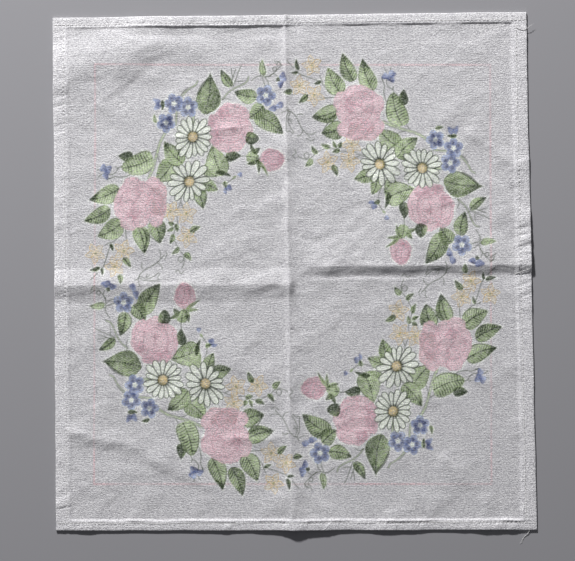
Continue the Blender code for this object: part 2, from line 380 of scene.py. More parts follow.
WHITE_GROUND = dye(222, 223, 224)
LEAF_LIGHT = dye(188, 198, 174)
LEAF_MID = dye(152, 166, 132)
LEAF_DARK = dye(48, 62, 38)
STEM_GREEN = dye(140, 150, 128)
STEM_DARK = dye(62, 76, 52)
ROSE_PALE = dye(214, 191, 201)
ROSE_MID = dye(203, 177, 189)
ROSE_DEEP = dye(184, 152, 165)
ROSE_LINE = dye(152, 116, 130)
ROSE_MAUVE = dye(180, 155, 161)
PETAL_WHITE = dye(217, 220, 216)
PETAL_LINE = dye(36, 48, 34)
CORE_LIGHT = dye(206, 190, 160)
CORE_OLIVE = dye(92, 92, 60)
BLUE_PALE = dye(168, 176, 204)
BLUE_MID = dye(108, 118, 158)
BLUE_DARK = dye(46, 56, 98)
BLUE_EYE = dye(206, 212, 208)
STAR_FILL = dye(204, 196, 182)
STAR_LINE = dye(192, 162, 96)
FRAME_PINK = dye(205, 180, 188)


def blend_dye(first, second, share):
    share = np.clip(share, 0.0, 1.0)[..., None]
    return first * (1.0 - share) + second * share


def inked(outside):
    return np.clip(0.5 - outside / PRINT_EDGE, 0.0, 1.0)


def line_at(distance, width=LINE):
    """How dark a drawn line is at a distance from its middle."""
    return inked(np.abs(distance) - width / 2)


class PrintBed:
    """The places to be printed, and the tint that each has taken so far."""

    def __init__(self, x, y):
        self.bed_x, self.bed_y = x, y
        self.tint = np.ones((len(x), 3))
        self.grain = 0.5 + 0.5 * ripple(x / 1000, y / 1000, 0.0012, 41)
        self.mottle = 0.5 + 0.5 * ripple(x / 1000, y / 1000, 0.0036, 42)
        self.flow = 0.5 + 0.5 * ripple(x / 1000, y / 1000, 0.0075, 43)
        self.ground_only = False
        self.turn(0)

    def turn(self, quarter):
        cos, sin = [(1, 0), (0, 1), (-1, 0), (0, -1)][quarter]
        self.x = cos * self.bed_x + sin * self.bed_y
        self.y = cos * self.bed_y - sin * self.bed_x

    def near(self, centre, reach):
        return np.nonzero((np.abs(self.x - centre[0]) < reach)
                          & (np.abs(self.y - centre[1]) < reach))[0]

    def from_point(self, where, point, heading=0.0):
        """Distances of places from a point along a heading, and to its left."""
        return turned(self.x[where] - point[0], self.y[where] - point[1], heading)

    def lay(self, where, cover, colour):
        cover = cover[:, None]
        self.tint[where] = self.tint[where] * (1.0 - cover) + colour * cover

    def fill(self, where, outside, colour, strength=1.0, ground=True):
        """Dyes the inside of an outline, or only its white ground on the first round."""
        if not self.ground_only:
            self.lay(where, strength * (0.82 + 0.18 * self.grain[where]) * inked(outside), colour)
        elif ground:
            cover = GROUND_STRENGTH * np.clip(1.0 - outside / GROUND_REACH, 0.0, 1.0)
            self.lay(where, cover, WHITE_GROUND)


def leaf(bed, base, tip, width, shade=0.35, tip_shade=0.3, light_side=1, veins=0.5, bow=0.06,
         shoulder=0.80, lean=0.95, tilt=0.0):
    """A leaf with a drawn-out tip, a midrib, slanting veins and a dark, toothed rim."""
    base, tip = np.array(base, float), np.array(tip, float)
    length = np.hypot(*(tip - base))
    where = bed.near((base + tip) / 2, 0.5 * length + 0.6 * width + 3)
    if not len(where):
        return
    run = (tip - base) / length
    dx, dy = bed.x[where] - base[0], bed.y[where] - base[1]
    along = (dx * run[0] + dy * run[1]) / length
    inside = np.clip(along, 0.0, 1.0)
    side = dy * run[0] - dx * run[1] - bow * length * np.sin(math.pi * inside)
    half = 0.5 * width * np.sin(math.pi * inside ** 0.66) ** shoulder
    past = np.maximum(-along, along - 1.0) * length
    teeth = 0.22 * np.cos(2 * math.pi * along * length / 2.3) * (width > 9)
    outside = np.where(past > 0, np.hypot(np.maximum(past, 0), side), np.abs(side) - half + teeth)
    spread = np.abs(side) / np.maximum(half, 0.3)
    grain, mottle, flow = bed.grain[where], bed.mottle[where], bed.flow[where]
    slant = along * length - lean * np.abs(side) - tilt * side + 0.03 * side ** 2
    to_vein = ((slant / VEIN_SPACING) % 1.0 - 0.5) * VEIN_SPACING * 0.72
    vein = line_at(to_vein, 0.55) * (spread < 0.9) * (0.35 + 0.65 * mottle)
    midrib = line_at(side, 0.8) * (along < 0.97) * (0.6 + 0.4 * mottle)
    rim = line_at(outside + 0.35, 0.95) * np.clip(0.35 + flow, 0.0, 1.0)
    dark = shade + veins * 1.15 * vein + 0.9 * midrib * min(1.0, veins + 0.4)
    dark += tip_shade * ease((along - 0.66) / 0.25)
    dark -= 0.26 * np.clip(light_side * side / max(width, 1) * 2, -0.7, 1.0)
    dark += 0.22 * (mottle - 0.5) + 0.25 * (grain - 0.5) + 0.2 * (flow - 0.5)
    dark = np.maximum(dark, 1.05 * rim)
    colour = blend_dye(LEAF_LIGHT, LEAF_MID, 2.0 * dark)
    colour = blend_dye(colour, LEAF_DARK, 2.0 * dark - 1.0)
    bed.fill(where, outside - 0.2, colour)


def smooth_route(knots, steps):
    """Points of a smooth curve through the knots (Catmull-Rom)."""
    padded = [2 * knots[0] - knots[1], *knots, 2 * knots[-1] - knots[-2]]
    route = []
    for before, start, end, after in zip(padded, padded[1:], padded[2:], padded[3:]):
        for step in range(steps):
            t = step / steps
            route.append(0.5 * (2 * start + (end - before) * t
                                + (2 * before - 5 * start + 4 * end - after) * t ** 2
                                + (3 * start - before - 3 * end + after) * t ** 3))
    return np.array(route + [knots[-1]])


def stroke(bed, points, width=LINE, colour=STEM_DARK, strength=0.9, ground=False):
    """A drawn line through the points, as a smooth curve."""
    route = smooth_route([np.array(point, float) for point in points], 5)
    middle = (route.min(axis=0) + route.max(axis=0)) / 2
    where = bed.near(middle, np.abs(route - middle).max() + width + 2)
    if not len(where):
        return
    x, y = bed.x[where], bed.y[where]
    nearest = np.full(len(where), 1e9)
    for start, end in zip(route[:-1], route[1:]):
        run = end - start
        share = np.clip(((x - start[0]) * run[0] + (y - start[1]) * run[1])
                        / max(run @ run, 1e-9), 0.0, 1.0)
        nearest = np.minimum(nearest, np.hypot(x - start[0] - share * run[0],
                                               y - start[1] - share * run[1]))
    bed.fill(where, nearest - width / 2, colour, strength, ground)


def oval(bed, where, centre, size, turn):
    """Places relative to an oval: the share of its radius, and the angle."""
    along, across = bed.from_point(where, centre, turn)
    along, across = along / (size[0] / 2), across / (size[1] / 2)
    return np.hypot(along, across), np.arctan2(across, along)


def petal(bed, centre, size, turn, inner, outer, rim=0.10):
    """A rounded rose petal: washed colour with fine hatching that follows its rim."""
    where = bed.near(centre, max(size) / 2 + 3)
    if not len(where):
        return
    radius, angle = oval(bed, where, centre, size, turn)
    radius = radius / (1.0 + 0.03 * np.cos(5 * angle + turn) + 0.02 * np.cos(9 * angle))
    outside = (radius - 1.0) * min(size) / 2
    hatch = line_at(((outside / 1.7 + 0.3 * bed.mottle[where]) % 1.0 - 0.5) * 1.7, 0.3)
    share = 0.8 * radius ** 2 + 0.3 * (bed.mottle[where] - 0.5) + 0.4 * (bed.grain[where] - 0.5)
    colour = blend_dye(inner, outer, share)
    drawn = 0.45 * hatch * bed.grain[where] + rim * line_at(outside + 0.45)
    bed.fill(where, outside, blend_dye(colour, ROSE_LINE, drawn), 0.94)


def daisy(bed, centre, petals):
    """White petals with a grey-green outline, round a yellow button."""
    for heading, length, width in petals:
        where = bed.near(centre, length + 3)
        if not len(where):
            continue
        along, side = bed.from_point(where, centre, heading)
        along = along / length
        inside = np.clip(along, 0.0, 1.0)
        half = 0.5 * width * (0.30 + 0.70 * ease(inside / 0.72))
        half = half * np.sqrt(1.0 - np.clip((inside - 0.76) / 0.24, 0, 1) ** 2)
        outside = np.maximum(np.abs(side) - half, (0.12 - along) * length)
        outside = np.maximum(outside, (along - 1.0) * length)
        drawn = line_at(outside, 1.05) + 0.35 * line_at(side, 0.25) * (inside < 0.6)
        drawn += 0.75 * ease((0.38 - along) / 0.16)
        bed.fill(where, outside - 0.4, blend_dye(PETAL_WHITE, PETAL_LINE, drawn))
    where = bed.near(centre, 7)
    dx, dy = bed.from_point(where, centre)
    radius = np.hypot(dx, dy)
    share = 0.8 * (radius / 4.4) ** 4 + 0.07 * (dx - dy) + 0.7 * (bed.grain[where] - 0.5)
    bed.fill(where, radius - 4.4, blend_dye(CORE_LIGHT, CORE_OLIVE, share))


def forget_me_not(bed, centre, radius, turn):
    """Five round blue petals, dark at the throat, about a pale eye."""
    for heading in range(turn, turn + 360, 72):
        angle = math.radians(heading)
        middle = (centre[0] + 0.64 * radius * math.cos(angle),
                  centre[1] + 0.64 * radius * math.sin(angle))
        where = bed.near(middle, radius)
        outward, sideways = bed.from_point(where, middle, heading)
        away = np.hypot(outward, sideways)
        outward, sideways = outward / radius, sideways / radius
        share = 0.75 - 1.5 * outward + 1.2 * (bed.mottle[where] - 0.5)
        colour = blend_dye(BLUE_PALE, BLUE_MID, share)
        throat = 1.35 - np.hypot(outward + 0.12, 1.2 * sideways - 0.10) / 0.20
        rim = 0.35 * line_at(away - 0.40 * radius, 0.3) * bed.mottle[where]
        colour = blend_dye(colour, BLUE_DARK, np.minimum(throat, 0.85) + rim)
        bed.fill(where, away - 0.41 * radius, colour, 0.92)
    where = bed.near(centre, radius)
    bed.fill(where, np.hypot(*bed.from_point(where, centre)) - 0.17 * radius, BLUE_EYE, 0.8)


def dab(bed, centre, size, turn, colour, strength=0.85):
    """One soft oval touch of dye."""
    where = bed.near(centre, max(size) / 2 + 2)
    radius, _ = oval(bed, where, centre, size, turn)
    cover = strength * np.clip((1.12 - radius) / 0.35, 0.0, 1.0)
    if not bed.ground_only:
        bed.lay(where, cover * (0.8 + 0.2 * bed.grain[where]), colour)


def side_flower(bed, centre, size, turn):
    """A small blue flower in profile, dark towards its cup."""
    where = bed.near(centre, max(size) / 2 + 2)
    radius, angle = oval(bed, where, centre, size, turn)
    radius = radius / (1.0 + 0.16 * np.cos(3 * angle))
    share = 0.6 - 0.5 * radius * np.cos(angle) + 0.9 * (bed.mottle[where] - 0.5)
    colour = blend_dye(BLUE_PALE, BLUE_MID, 1.6 * share)
    colour = blend_dye(colour, BLUE_DARK, 1.8 * share - 1.1)
    bed.fill(where, (radius - 1.0) * min(size) / 2, colour, 0.92, ground=False)


def star_flower(bed, centre, radius, turn):
    """Five pointed petals, hardly more than a tan outline on a straw tint."""
    where = bed.near(centre, radius + 2)
    if bed.ground_only:
        return
    for heading in range(turn, turn + 360, 72):
        along, side = bed.from_point(where, centre, heading)
        along = along / radius
        side = side + 0.05 * radius * np.sin(2 * math.pi * along)
        inside = np.clip(along, 0.0, 1.0)
        half = 0.30 * radius * np.sin(math.pi * inside ** 0.8) ** 0.8
        outside = np.maximum(np.abs(side) - half, np.maximum(-along, along - 1.0) * radius)
        drawn = line_at(outside, 0.62) * (0.55 + 0.45 * bed.mottle[where])
        drawn = np.maximum(drawn, 0.6 * line_at(side, 0.3) * (inside < 0.6))
        bed.lay(where, 0.40 * inked(outside), STAR_FILL)
        bed.lay(where, 0.95 * drawn * inked(outside - 0.4), STAR_LINE)
    away = np.hypot(*bed.from_point(where, centre))
    bed.lay(where, 0.7 * inked(away - 1.0), STEM_GREEN)


def ring(bed, centre, radius, strength=0.8):
    where = bed.near(centre, radius + 2)
    away = np.hypot(*bed.from_point(where, centre))
    bed.fill(where, np.abs(away - radius) - LINE / 2, STEM_DARK, strength, ground=False)


# Thin stems, by how dark they are drawn, and thick ones with their width and darkness.
THIN_STEMS = {
    0.9: [
        [(140.5, -85.5), (145, -82), (152, -80.5), (157, -81), (163, -79)],
        [(20, -165), (25, -164.6), (30, -165.2), (33.5, -163.6), (36.5, -161.4)],
        [(135, 1), (131, -3), (125, -6), (120, -9), (116, -13), (113.5, -15.5)],
        [(160.3, -25), (162.5, -19), (164.6, -12.5), (166.8, -6.5), (168.6, -4)],
        [(50.5, -81.2), (54, -78.4), (57.6, -76), (60, -73)]],
    0.8: [
        [(154, -88.5), (156, -85), (159, -83), (163, -83.2)], [(161, -79.6), (164, -78.4)],
        [(53, -156), (50, -163.5), (48, -169), (45.5, -174)],
        [(55.5, -158.5), (53.4, -162.5), (52, -167), (50.5, -171)],
        [(28.5, -165.5), (28, -171), (29.6, -177)], [(132.5, -4), (133.4, -6.4), (132.8, -9)],
        [(147.6, -38), (147, -31), (146.6, -25)],
        [(154.8, -29.5), (158.5, -26.5), (162, -25.6), (165.5, -23.8)],
        [(41, -98.4), (44, -98.3), (47, -97.6)], [(36, -106.5), (34.5, -104.5), (33, -101)]],
    0.75: [
        [(172, -0.5), (174.5, 2), (178, 5)]],
    0.7: [
        [(116.5, -91), (118.2, -95), (119.4, -100)], [(127.5, -99.5), (124, -101), (120.5, -103)],
        [(150.5, -90), (154, -88.4), (156.5, -89.3)], [(168.5, -83), (171.5, -81)],
        [(168.5, -86), (172.5, -86.8)], [(55, -145.2), (58.5, -146.6), (62.5, -145.4)],
        [(53, -164), (54, -168), (54.3, -171.5)],
        [(21.5, -164.8), (18, -166.8), (14, -170.4), (10, -174.2)], [(135, 1), (136.2, 4), (139, 5.5)],
        [(96, -53), (97.4, -56.5), (98.6, -59.5)]],
    0.65: [
        [(102, -47.5), (102, -42), (104.3, -35.5), (105, -30), (103.3, -25.6), (100.5, -20.5),
         (97, -16.4), (95.6, -12.5), (96.2, -8), (98, -4.5)]],
    0.6: [
        [(24.5, -164), (22, -160.5), (21, -157)], [(27, -164), (25.5, -160), (24.3, -156.5)],
        [(10, -174.2), (12.5, -177), (14.5, -177.5)], [(13.5, -173.5), (15, -176), (16.5, -178.5)],
        [(135, 2), (135.8, 6), (134.5, 10)],
        [(117, 0), (119, 3), (118.5, 5.5), (124, 5.8), (131, 5.6), (134.4, 4)],
        [(118, -1), (123, 2.5), (129, 4.2), (134, 2.5)], [(119.5, -9), (116, -7), (115, -4)],
        [(165.5, 14), (167, 17.5), (165, 20.8)], [(102, -54), (100.2, -57), (98.8, -61), (97.5, -66)]],
    0.5: [
        [(51.5, -161), (48, -160.4), (44, -161.2)], [(96, -2), (98.5, 0), (101, -3), (103.5, -1.5)],
        [(126, 1), (129, 3.4), (128.4, 0.4)], [(117, -13), (116.5, -17), (118, -20)],
        [(93, -155), (96.5, -152), (99, -149)], [(61, -75.4), (66, -75.8), (71, -78), (74.5, -78.6)]],
    0.4: [
        [(113, -12), (111, -16), (112.4, -19)]]}
THICK_STEMS = [
    ([(127, -80), (123, -89), (120, -100), (117, -110), (112, -119)], 2.6, 0.5),
    ([(62, -145.8), (57.5, -151), (52, -154.8), (45, -157.8), (40.5, -160.8), (39, -164.5)], 1.5, 0.8),
    ([(87.6, -121), (87.8, -126), (87.6, -131.5)], 2.2, 0.85),
    ([(103.5, -124.5), (102.8, -130), (102.6, -135)], 1.8, 0.5),
    ([(84, -161), (86, -157.6), (90, -155.4), (95, -151.4), (98, -148.2)], 1.6, 0.6)]


def stems(bed):
    for points, width, strength in THICK_STEMS:
        stroke(bed, points, width + 0.2, STEM_DARK, 0.45 + 0.2 * strength)
        stroke(bed, points, width - 1.0, LEAF_LIGHT, 0.8)
    for strength, lines in THIN_STEMS.items():
        for points in lines:
            stroke(bed, points, THIN_LINE, STEM_DARK, 0.6 + 0.3 * strength)
    ring(bed, (98.6, -12.2), 2.3)
    ring(bed, (16, -171), 1.7)
    ring(bed, (12.2, -175.6), 1.3, 0.6)


# Leaves: base, tip, width, then how dark, how dark at the tip, the lit side, veins and bend.
LEAVES = [
    ((123, -45), (117, -25.5), 15.5, 0.52, 0.3, -1, 0.6),
    ((137, -40), (130.6, -17), 14.5, 0.4, 0.5, -1, 0.5),
    ((150, -43), (172, -31), 16.5, 0.25, 0.2, 1, 0.9),
    ((161, -54), (184, -44), 13.5, 0.5, 0.2, -1, 0.8),
    ((153, -71), (179, -61.5), 15, 0.25, 0.6, 1, 0.8),
    ((123.5, -97), (151, -88), 18.5, 0.2, 0.1, 1, 0.9, 0.06, 0.5, 0.4),
    ((141, -98.5), (154, -98.2), 8.5, 0.85, 0.2, 1, 0.4),
    ((105.5, -94), (120.5, -76.5), 18, 0.26, 0.1, 1, 0.6),
    ((97, -92), (113.5, -110), 15.5, 0.32, 0.4, 1, 0.6),
    ((85, -71), (79, -54.5), 12, 0.45, 0.2, -1, 0.6), ((81, -75), (66, -70), 10.5, 0.4, 0.2, 1, 0.6),
    ((80, -89), (67, -81), 11, 0.4, 0.2, -1, 0.6),
    ((62, -82), (71, -107.5), 19.5, 0.12, 0.2, 1, 0.9, 0.06, 0.8, -0.95),
    ((68, -85), (54.5, -81.4), 3.8, 1, 0.2, 1, 0.2), ((59.5, -97), (46, -98.6), 9, 0.9, 0.1, 1, 0.4),
    ((33.5, -133), (8.5, -117), 16.5, 0.42, 0.5, -1, 0.8),
    ((26, -140.5), (39, -130), 13.5, 0.5, 0.1, -1, 0.8),
    ((32, -147.5), (51.5, -152), 12.5, 0.35, 0.5, 1, 0.7),
    ((77.8, -133), (73, -168), 21.5, 0.48, 0.3, 1, 1, -0.05, 1.25, 0.2, 1.5),
    ((54, -156.5), (63.6, -170.5), 8, 0.5, 0.5, 1, 0.5),
    ((100, -21.8), (106.5, -16.6), 3.8, 0.5, 0.1, 1, 0.4),
    ((95.4, -17.4), (89.8, -11.2), 5, 0.35, 0.1, 1, 0.3),
    ((105.2, -33), (108.4, -25), 4, 0.6, 0.1, 1, 0.3),
    ((103.6, -41.5), (101.6, -35), 3.8, 0.55, 0.1, 1, 0.3),
    ((90.5, -35), (81.6, -39.4), 5, 0.5, 0.1, 1, 0.4),
    ((105, -38.4), (111, -35.6), 3, 0.5, 0.1, 1, 0.3), ((105, -41), (110, -43), 3.6, 0.45, 0.1, 1, 0.3),
    ((149.6, -13), (143, -5.5), 5, 0.45, 0.2, -1, 0.3),
    ((152.6, 0.5), (151.6, 8.4), 4.6, 0.6, 0.1, 1, 0.3),
    ((168.6, -4.6), (167.8, 1.2), 2.4, 1, 0.1, 1, 0.2), ((170, -5), (179, -3), 3.4, 0.85, 0.1, 1, 0.3),
    ((161, -25), (158.6, -18.8), 2.8, 0.7, 0.1, 1, 0.3),
    ((121, -126), (122.4, -133), 3, 0.45, 0.1, 1, 0.3)]
# Dark strokes where a leaf is seen edge on or in shadow: points, width and strength.
LEAF_SHADOWS = [
    ([(145, -7), (147, -10), (149.4, -13)], 0.9, 0.9),
    ([(130.4, -22), (128.8, -28), (130.2, -34), (133, -38)], 1.5, 0.85),
    ([(118, -26), (122, -28.4), (128.4, -33)], 0.9, 0.8),
    ([(84, -150), (80.4, -157), (75, -163)], 2.2, 0.75),
    ([(178.6, -61.8), (174.6, -64), (171.8, -67.4)], 2.0, 0.8),
    ([(112.8, -109.5), (112.4, -105), (110.6, -101)], 1.6, 0.7)]


def leaves(bed):
    for drawing in LEAVES:
        leaf(bed, *drawing)
    for points, width, strength in LEAF_SHADOWS:
        stroke(bed, points, width, LEAF_DARK, strength)


def bud(bed):
    petal(bed, (19, -95), (21, 19), 0, ROSE_MID, ROSE_DEEP)
    petal(bed, (17, -96.5), (19, 12), -8, ROSE_MID, ROSE_DEEP, 0.35)
    dab(bed, (10.5, -96), (8, 10), 0, ROSE_DEEP, 0.55)
    for points in ([(8.5, -93), (14, -90.4), (21, -90), (26, -91.5)],
                   [(9, -98.5), (15, -101.6), (22, -104.4)],
                   [(12, -95.4), (18, -95.8), (25, -98)]):
        stroke(bed, points, 0.7, ROSE_LINE, 0.55)
    leaf(bed, (41, -98), (29, -95.5), 10, 0.35, 0.2, 1, 0.4)
    leaf(bed, (32, -95), (22, -82), 3.0, 0.45, 0.1, 1, 0.2)
    leaf(bed, (31.5, -96), (30, -83.5), 3.2, 0.50, 0.1, 1, 0.2)
    leaf(bed, (31, -94), (40.5, -91.6), 3.4, 0.50, 0.1, 1, 0.3)
    leaf(bed, (34, -100), (29, -105), 4.4, 0.60, 0.1, 1, 0.3)
    leaf(bed, (33, -100), (37.5, -109), 3.2, 0.50, 0.1, 1, 0.3)


# How a petal is washed, from its middle to its rim.
PALE_WASH = (ROSE_PALE, ROSE_MID)
DEEP_WASH = (ROSE_MID, ROSE_DEEP)
MAUVE_WASH = (ROSE_MID, ROSE_MAUVE)
FADED_WASH = (ROSE_PALE, ROSE_MAUVE)
EVEN_WASH = (ROSE_MID, ROSE_MID)
# The open pair, a mauve rose half behind a pink one: petals, shades and drawn lines.
OPEN_PAIR = (
    [
        ((121, -60), (20, 38), 0, EVEN_WASH), ((138, -60), (38, 38), 0, PALE_WASH),
        ((121, -46), (13, 14), 20, PALE_WASH), ((117, -57), (10, 17), 5, MAUVE_WASH),
        ((117, -69), (12, 15), 15, FADED_WASH), ((123, -75), (13, 12), -20, PALE_WASH),
        ((122, -61), (15, 23), 5, MAUVE_WASH), ((144, -43), (17, 14), -10, PALE_WASH),
        ((134, -45), (14, 13), 20, PALE_WASH), ((150.5, -53), (14, 17), 30, PALE_WASH),
        ((148.5, -65), (13, 15), -15, PALE_WASH), ((142, -75), (16, 12), 5, PALE_WASH),
        ((132, -69), (14, 13), 30, PALE_WASH), ((130, -57), (13, 17), 0, PALE_WASH),
        ((141, -54), (15, 16), -10, DEEP_WASH), ((146, -58), (15, 15), 25, PALE_WASH),
        ((135, -60), (13, 15), -10, PALE_WASH), ((140, -66), (16, 10), 10, PALE_WASH)],
    [
        ((122.4, -57), (5, 12), 8, ROSE_MAUVE, 0.6), ((118, -52), (6, 6), 0, ROSE_MAUVE, 0.4),
        ((141, -52.5), (4, 6), 0, ROSE_LINE, 0.4), ((137, -66), (4, 8), 25, ROSE_LINE, 0.3),
        ((134, -57), (9, 8), 0, ROSE_PALE, 0.6), ((131, -64), (8, 6), 0, ROSE_PALE, 0.7),
        ((146, -52), (6, 6), 0, ROSE_PALE, 0.6)],
    [
        [(138, -47), (143, -50), (143, -55), (139, -60), (135, -66), (137, -70)],
        [(116, -49), (121, -49.6), (125, -52), (126, -58)],
        [(126, -61), (131, -68), (138, -71), (146, -70), (151, -66)],
        [(144, -50), (149, -53), (152, -60), (150, -66)], [(128, -49), (130, -55), (127, -61)],
        [(139, -60), (145, -61), (150, -59)], [(134, -72), (136, -77), (140, -80)],
        [(113, -64), (119, -66), (124, -71)], [(129, -47), (136, -47), (142, -44)]])
# The single rose, seen half from below.
SINGLE_ROSE = (
    [
        ((55, -122), (34, 41), 0, PALE_WASH), ((62, -108), (20, 12), -22, PALE_WASH),
        ((50, -109), (16, 14), 30, PALE_WASH), ((41.5, -122), (12, 16), 25, PALE_WASH),
        ((68, -114), (12, 14), -15, DEEP_WASH), ((70, -124), (10, 19), 5, DEEP_WASH),
        ((45, -133), (14, 13), -30, PALE_WASH), ((53, -136), (24, 12), 3, PALE_WASH),
        ((61, -134), (10, 12), 5, DEEP_WASH), ((53, -120), (24, 22), 0, PALE_WASH),
        ((59, -118), (15, 16), -15, PALE_WASH), ((56, -126), (21, 11), 3, PALE_WASH)],
    [
        ((52, -120), (6, 5), 0, ROSE_LINE, 0.3), ((71, -126), (5, 10), 5, ROSE_LINE, 0.35),
        ((67, -117), (4, 9), 0, ROSE_DEEP, 0.5), ((63, -134), (5, 6), 0, ROSE_LINE, 0.35),
        ((58, -115), (9, 5), -20, ROSE_PALE, 0.7), ((43, -123), (7, 5), 0, ROSE_PALE, 0.7)],
    [
        [(42, -119), (45, -113.5), (51, -110.4), (58, -109.6), (64, -112), (67, -117)],
        [(40, -127), (44, -129.6), (51, -131.2), (60, -131.6), (67, -130.4)],
        [(47, -127), (45, -121), (48, -115.5)], [(57, -114), (63, -117), (65.5, -124)],
        [(48, -121), (54, -121.6), (61, -119.4)], [(45, -104.6), (50, -106), (57, -104)],
        [(41, -135), (49, -139), (58, -140)]])


def rose(bed, petals, shades, lines):
    for centre, size, turn, wash in petals:
        petal(bed, centre, size, turn, *wash)
    for shade in shades:
        dab(bed, *shade)
    for points in lines:
        stroke(bed, points, 0.55, ROSE_LINE, 0.6)


def quarter_of_wreath(bed):
    stems(bed)
    for centre, radius, turn in (((93, -31), 9.5, 80), ((94, -50), 9.5, 50), ((108, -52), 9.5, 20),
                                 ((149, -19), 9.5, 35), ((157, -6), 9.0, 70),
                                 ((174, -17), 9.0, 10)):
        star_flower(bed, centre, radius, turn)
    leaves(bed)
    bud(bed)
    rose(bed, *OPEN_PAIR)
    rose(bed, *SINGLE_ROSE)
    leaf(bed, (41.5, -114.5), (30, -112.5), 10.5, 0.85, 0.2, 1, 0.5, -0.06, 0.55)
    daisy(bed, (91.5, -77), [
        (6, 19.5, 5.6), (-16, 17.5, 5.2), (-42, 19, 4.6), (-60, 16, 5.0), (-87, 17, 5.4),
        (-114, 19.5, 6.2), (-141, 20, 6.2), (-174, 18.5, 5.4), (158, 16, 5.2), (131, 15.5, 5.4),
        (101, 16, 4.6), (80, 17.5, 4.8), (52, 20, 5.2), (33, 20, 6.0)])
    daisy(bed, (88.5, -114.5), [
        (120, 18.5, 5.4), (98, 16.5, 4.6), (77, 19, 5.4), (56, 20, 5.6), (35, 18, 5.4),
        (15, 15.5, 4.8), (-6, 15.5, 5.2), (-31, 16, 5.2), (-55, 17, 5.4), (-78, 17.5, 5.0),
        (-130, 19, 5.6), (-155, 18, 5.6), (179, 17, 5.2), (156, 17, 5.2), (137, 18, 5.0),
        (-106, 15.5, 4.4)])
    forget_me_not(bed, (112, -126), 8.2, 20)
    forget_me_not(bed, (92.5, -139), 8.6, 55)
    forget_me_not(bed, (105, -142), 8.4, 0)
    forget_me_not(bed, (24, -149), 8.8, 35)
    # Blue flowers seen from the side, with their green cups.
    for centre, size, turn in (
            ((119.5, -139.6), (7, 5), 40), ((120, -144), (7, 4.5), -30), ((12, -140.5), (9, 5), 25),
            ((17.5, -138), (7, 5), 10), ((10.6, -158.6), (5, 7), -20), ((8.6, -164.4), (6, 8), 15),
            ((165, -82), (5.5, 6.5), 0), ((163, -87), (6, 7), -25), ((167, -87.6), (6, 7), 20),
            ((57, -71.5), (7, 5), 20), ((59.5, -69.5), (3, 6), 0), ((46.6, -82.8), (4, 4), 0)):
        side_flower(bed, centre, size, turn)
    leaf(bed, (115.2, -145), (115.4, -136.5), 3.2, 0.70, 0.1)
    leaf(bed, (14.6, -163), (11.4, -161.4), 3.4, 0.95, 0.1)
    leaf(bed, (60.6, -77), (59, -71.5), 3.6, 0.60, 0.1)
    leaf(bed, (25.5, -165.5), (27, -179), 5.5, 0.15, 0.1, 1, 0.3)
    for centre, size, colour in (((110, -127), (6, 7), BLUE_DARK), ((114.5, -124), (5, 4), BLUE_DARK),
                                 ((108, -130), (4, 4), BLUE_DARK), ((115, -129), (4, 5), BLUE_MID)):
        dab(bed, centre, size, 0, colour, 0.55)
    dab(bed, (51.6, -80.4), (4, 2.4), 40, LEAF_MID, 0.8)


def print_tint(x, y):
    """The tint that the print gives the cloth at places from the cloth's centre."""
    print_x = (x - PRINT_CENTRE[0]) * 1000 / PRINT_SHRINK
    print_y = (y - PRINT_CENTRE[1]) * 1000
    bed = PrintBed(print_x, print_y)
    frame_line = np.maximum(np.abs(print_x), np.abs(print_y)) - 174.6
    worn = 0.55 + 0.35 * ripple(x, y, 0.02, 51)
    bed.lay(slice(None), worn * inked(np.abs(frame_line) - 0.8), FRAME_PINK)
    for bed.ground_only in (True, False):
        for quarter in range(4):
            bed.turn(quarter)
            quarter_of_wreath(bed)
    return bed.tint


# ---- The woven cloth: its material ----
# Plain weave seen close: warp and weft yarns over and under, with thick and thin stretches of
# yarn, a slightly uneven tone with painted shade of the yarn relief (lighter where the yarns stand
# higher), and a soft fuzz that catches light at a grazing angle.
YARN_PITCH = 0.00048
RIB_PITCH = 0.0020                   # where the beating-in has bunched the weft


def add_node(tree, kind, inputs=(), **settings):
    """A node with its settings, and its inputs set to values or linked to sockets."""
    node = tree.nodes.new(kind)
    for setting, value in settings.items():
        setattr(node, setting, value)
    for key, value in dict(inputs).items():
        if isinstance(value, bpy.types.NodeSocket):
            tree.links.new(value, node.inputs[key])
        else:
            node.inputs[key].default_value = value
    return node


def add_math(tree, operation, *values):
    return add_node(tree, "ShaderNodeMath", dict(enumerate(values)), operation=operation).outputs[0]


def add_noise(tree, vector, scale, detail=2.0, stretch=(1.0, 1.0, 1.0)):
    mapping = add_node(tree, "ShaderNodeMapping", {"Vector": vector, "Scale": stretch})
    return add_node(tree, "ShaderNodeTexNoise", {"Vector": mapping.outputs[0], "Scale": scale,
                                                 "Detail": detail, "Roughness": 0.6})


def weighted_sum(tree, terms):
    total = None
    for share, socket in terms:
        part = add_math(tree, "MULTIPLY", socket, share)
        total = part if total is None else add_math(tree, "ADD", total, part)
    return total


def colour_mix(tree, factor, first, second, blend_type="MIX"):
    """A colour mix node, whose colour sockets share their names with its value sockets."""
    node = tree.nodes.new("ShaderNodeMix")
    node.data_type = "RGBA"
    node.blend_type = blend_type
    sockets = {socket.identifier: socket for socket in node.inputs}
    for identifier, value in (("Factor_Float", factor), ("A_Color", first), ("B_Color", second)):
        if isinstance(value, bpy.types.NodeSocket):
            tree.links.new(value, sockets[identifier])
        else:
            sockets[identifier].default_value = value
    return next(socket for socket in node.outputs if socket.identifier == "Result_Color")


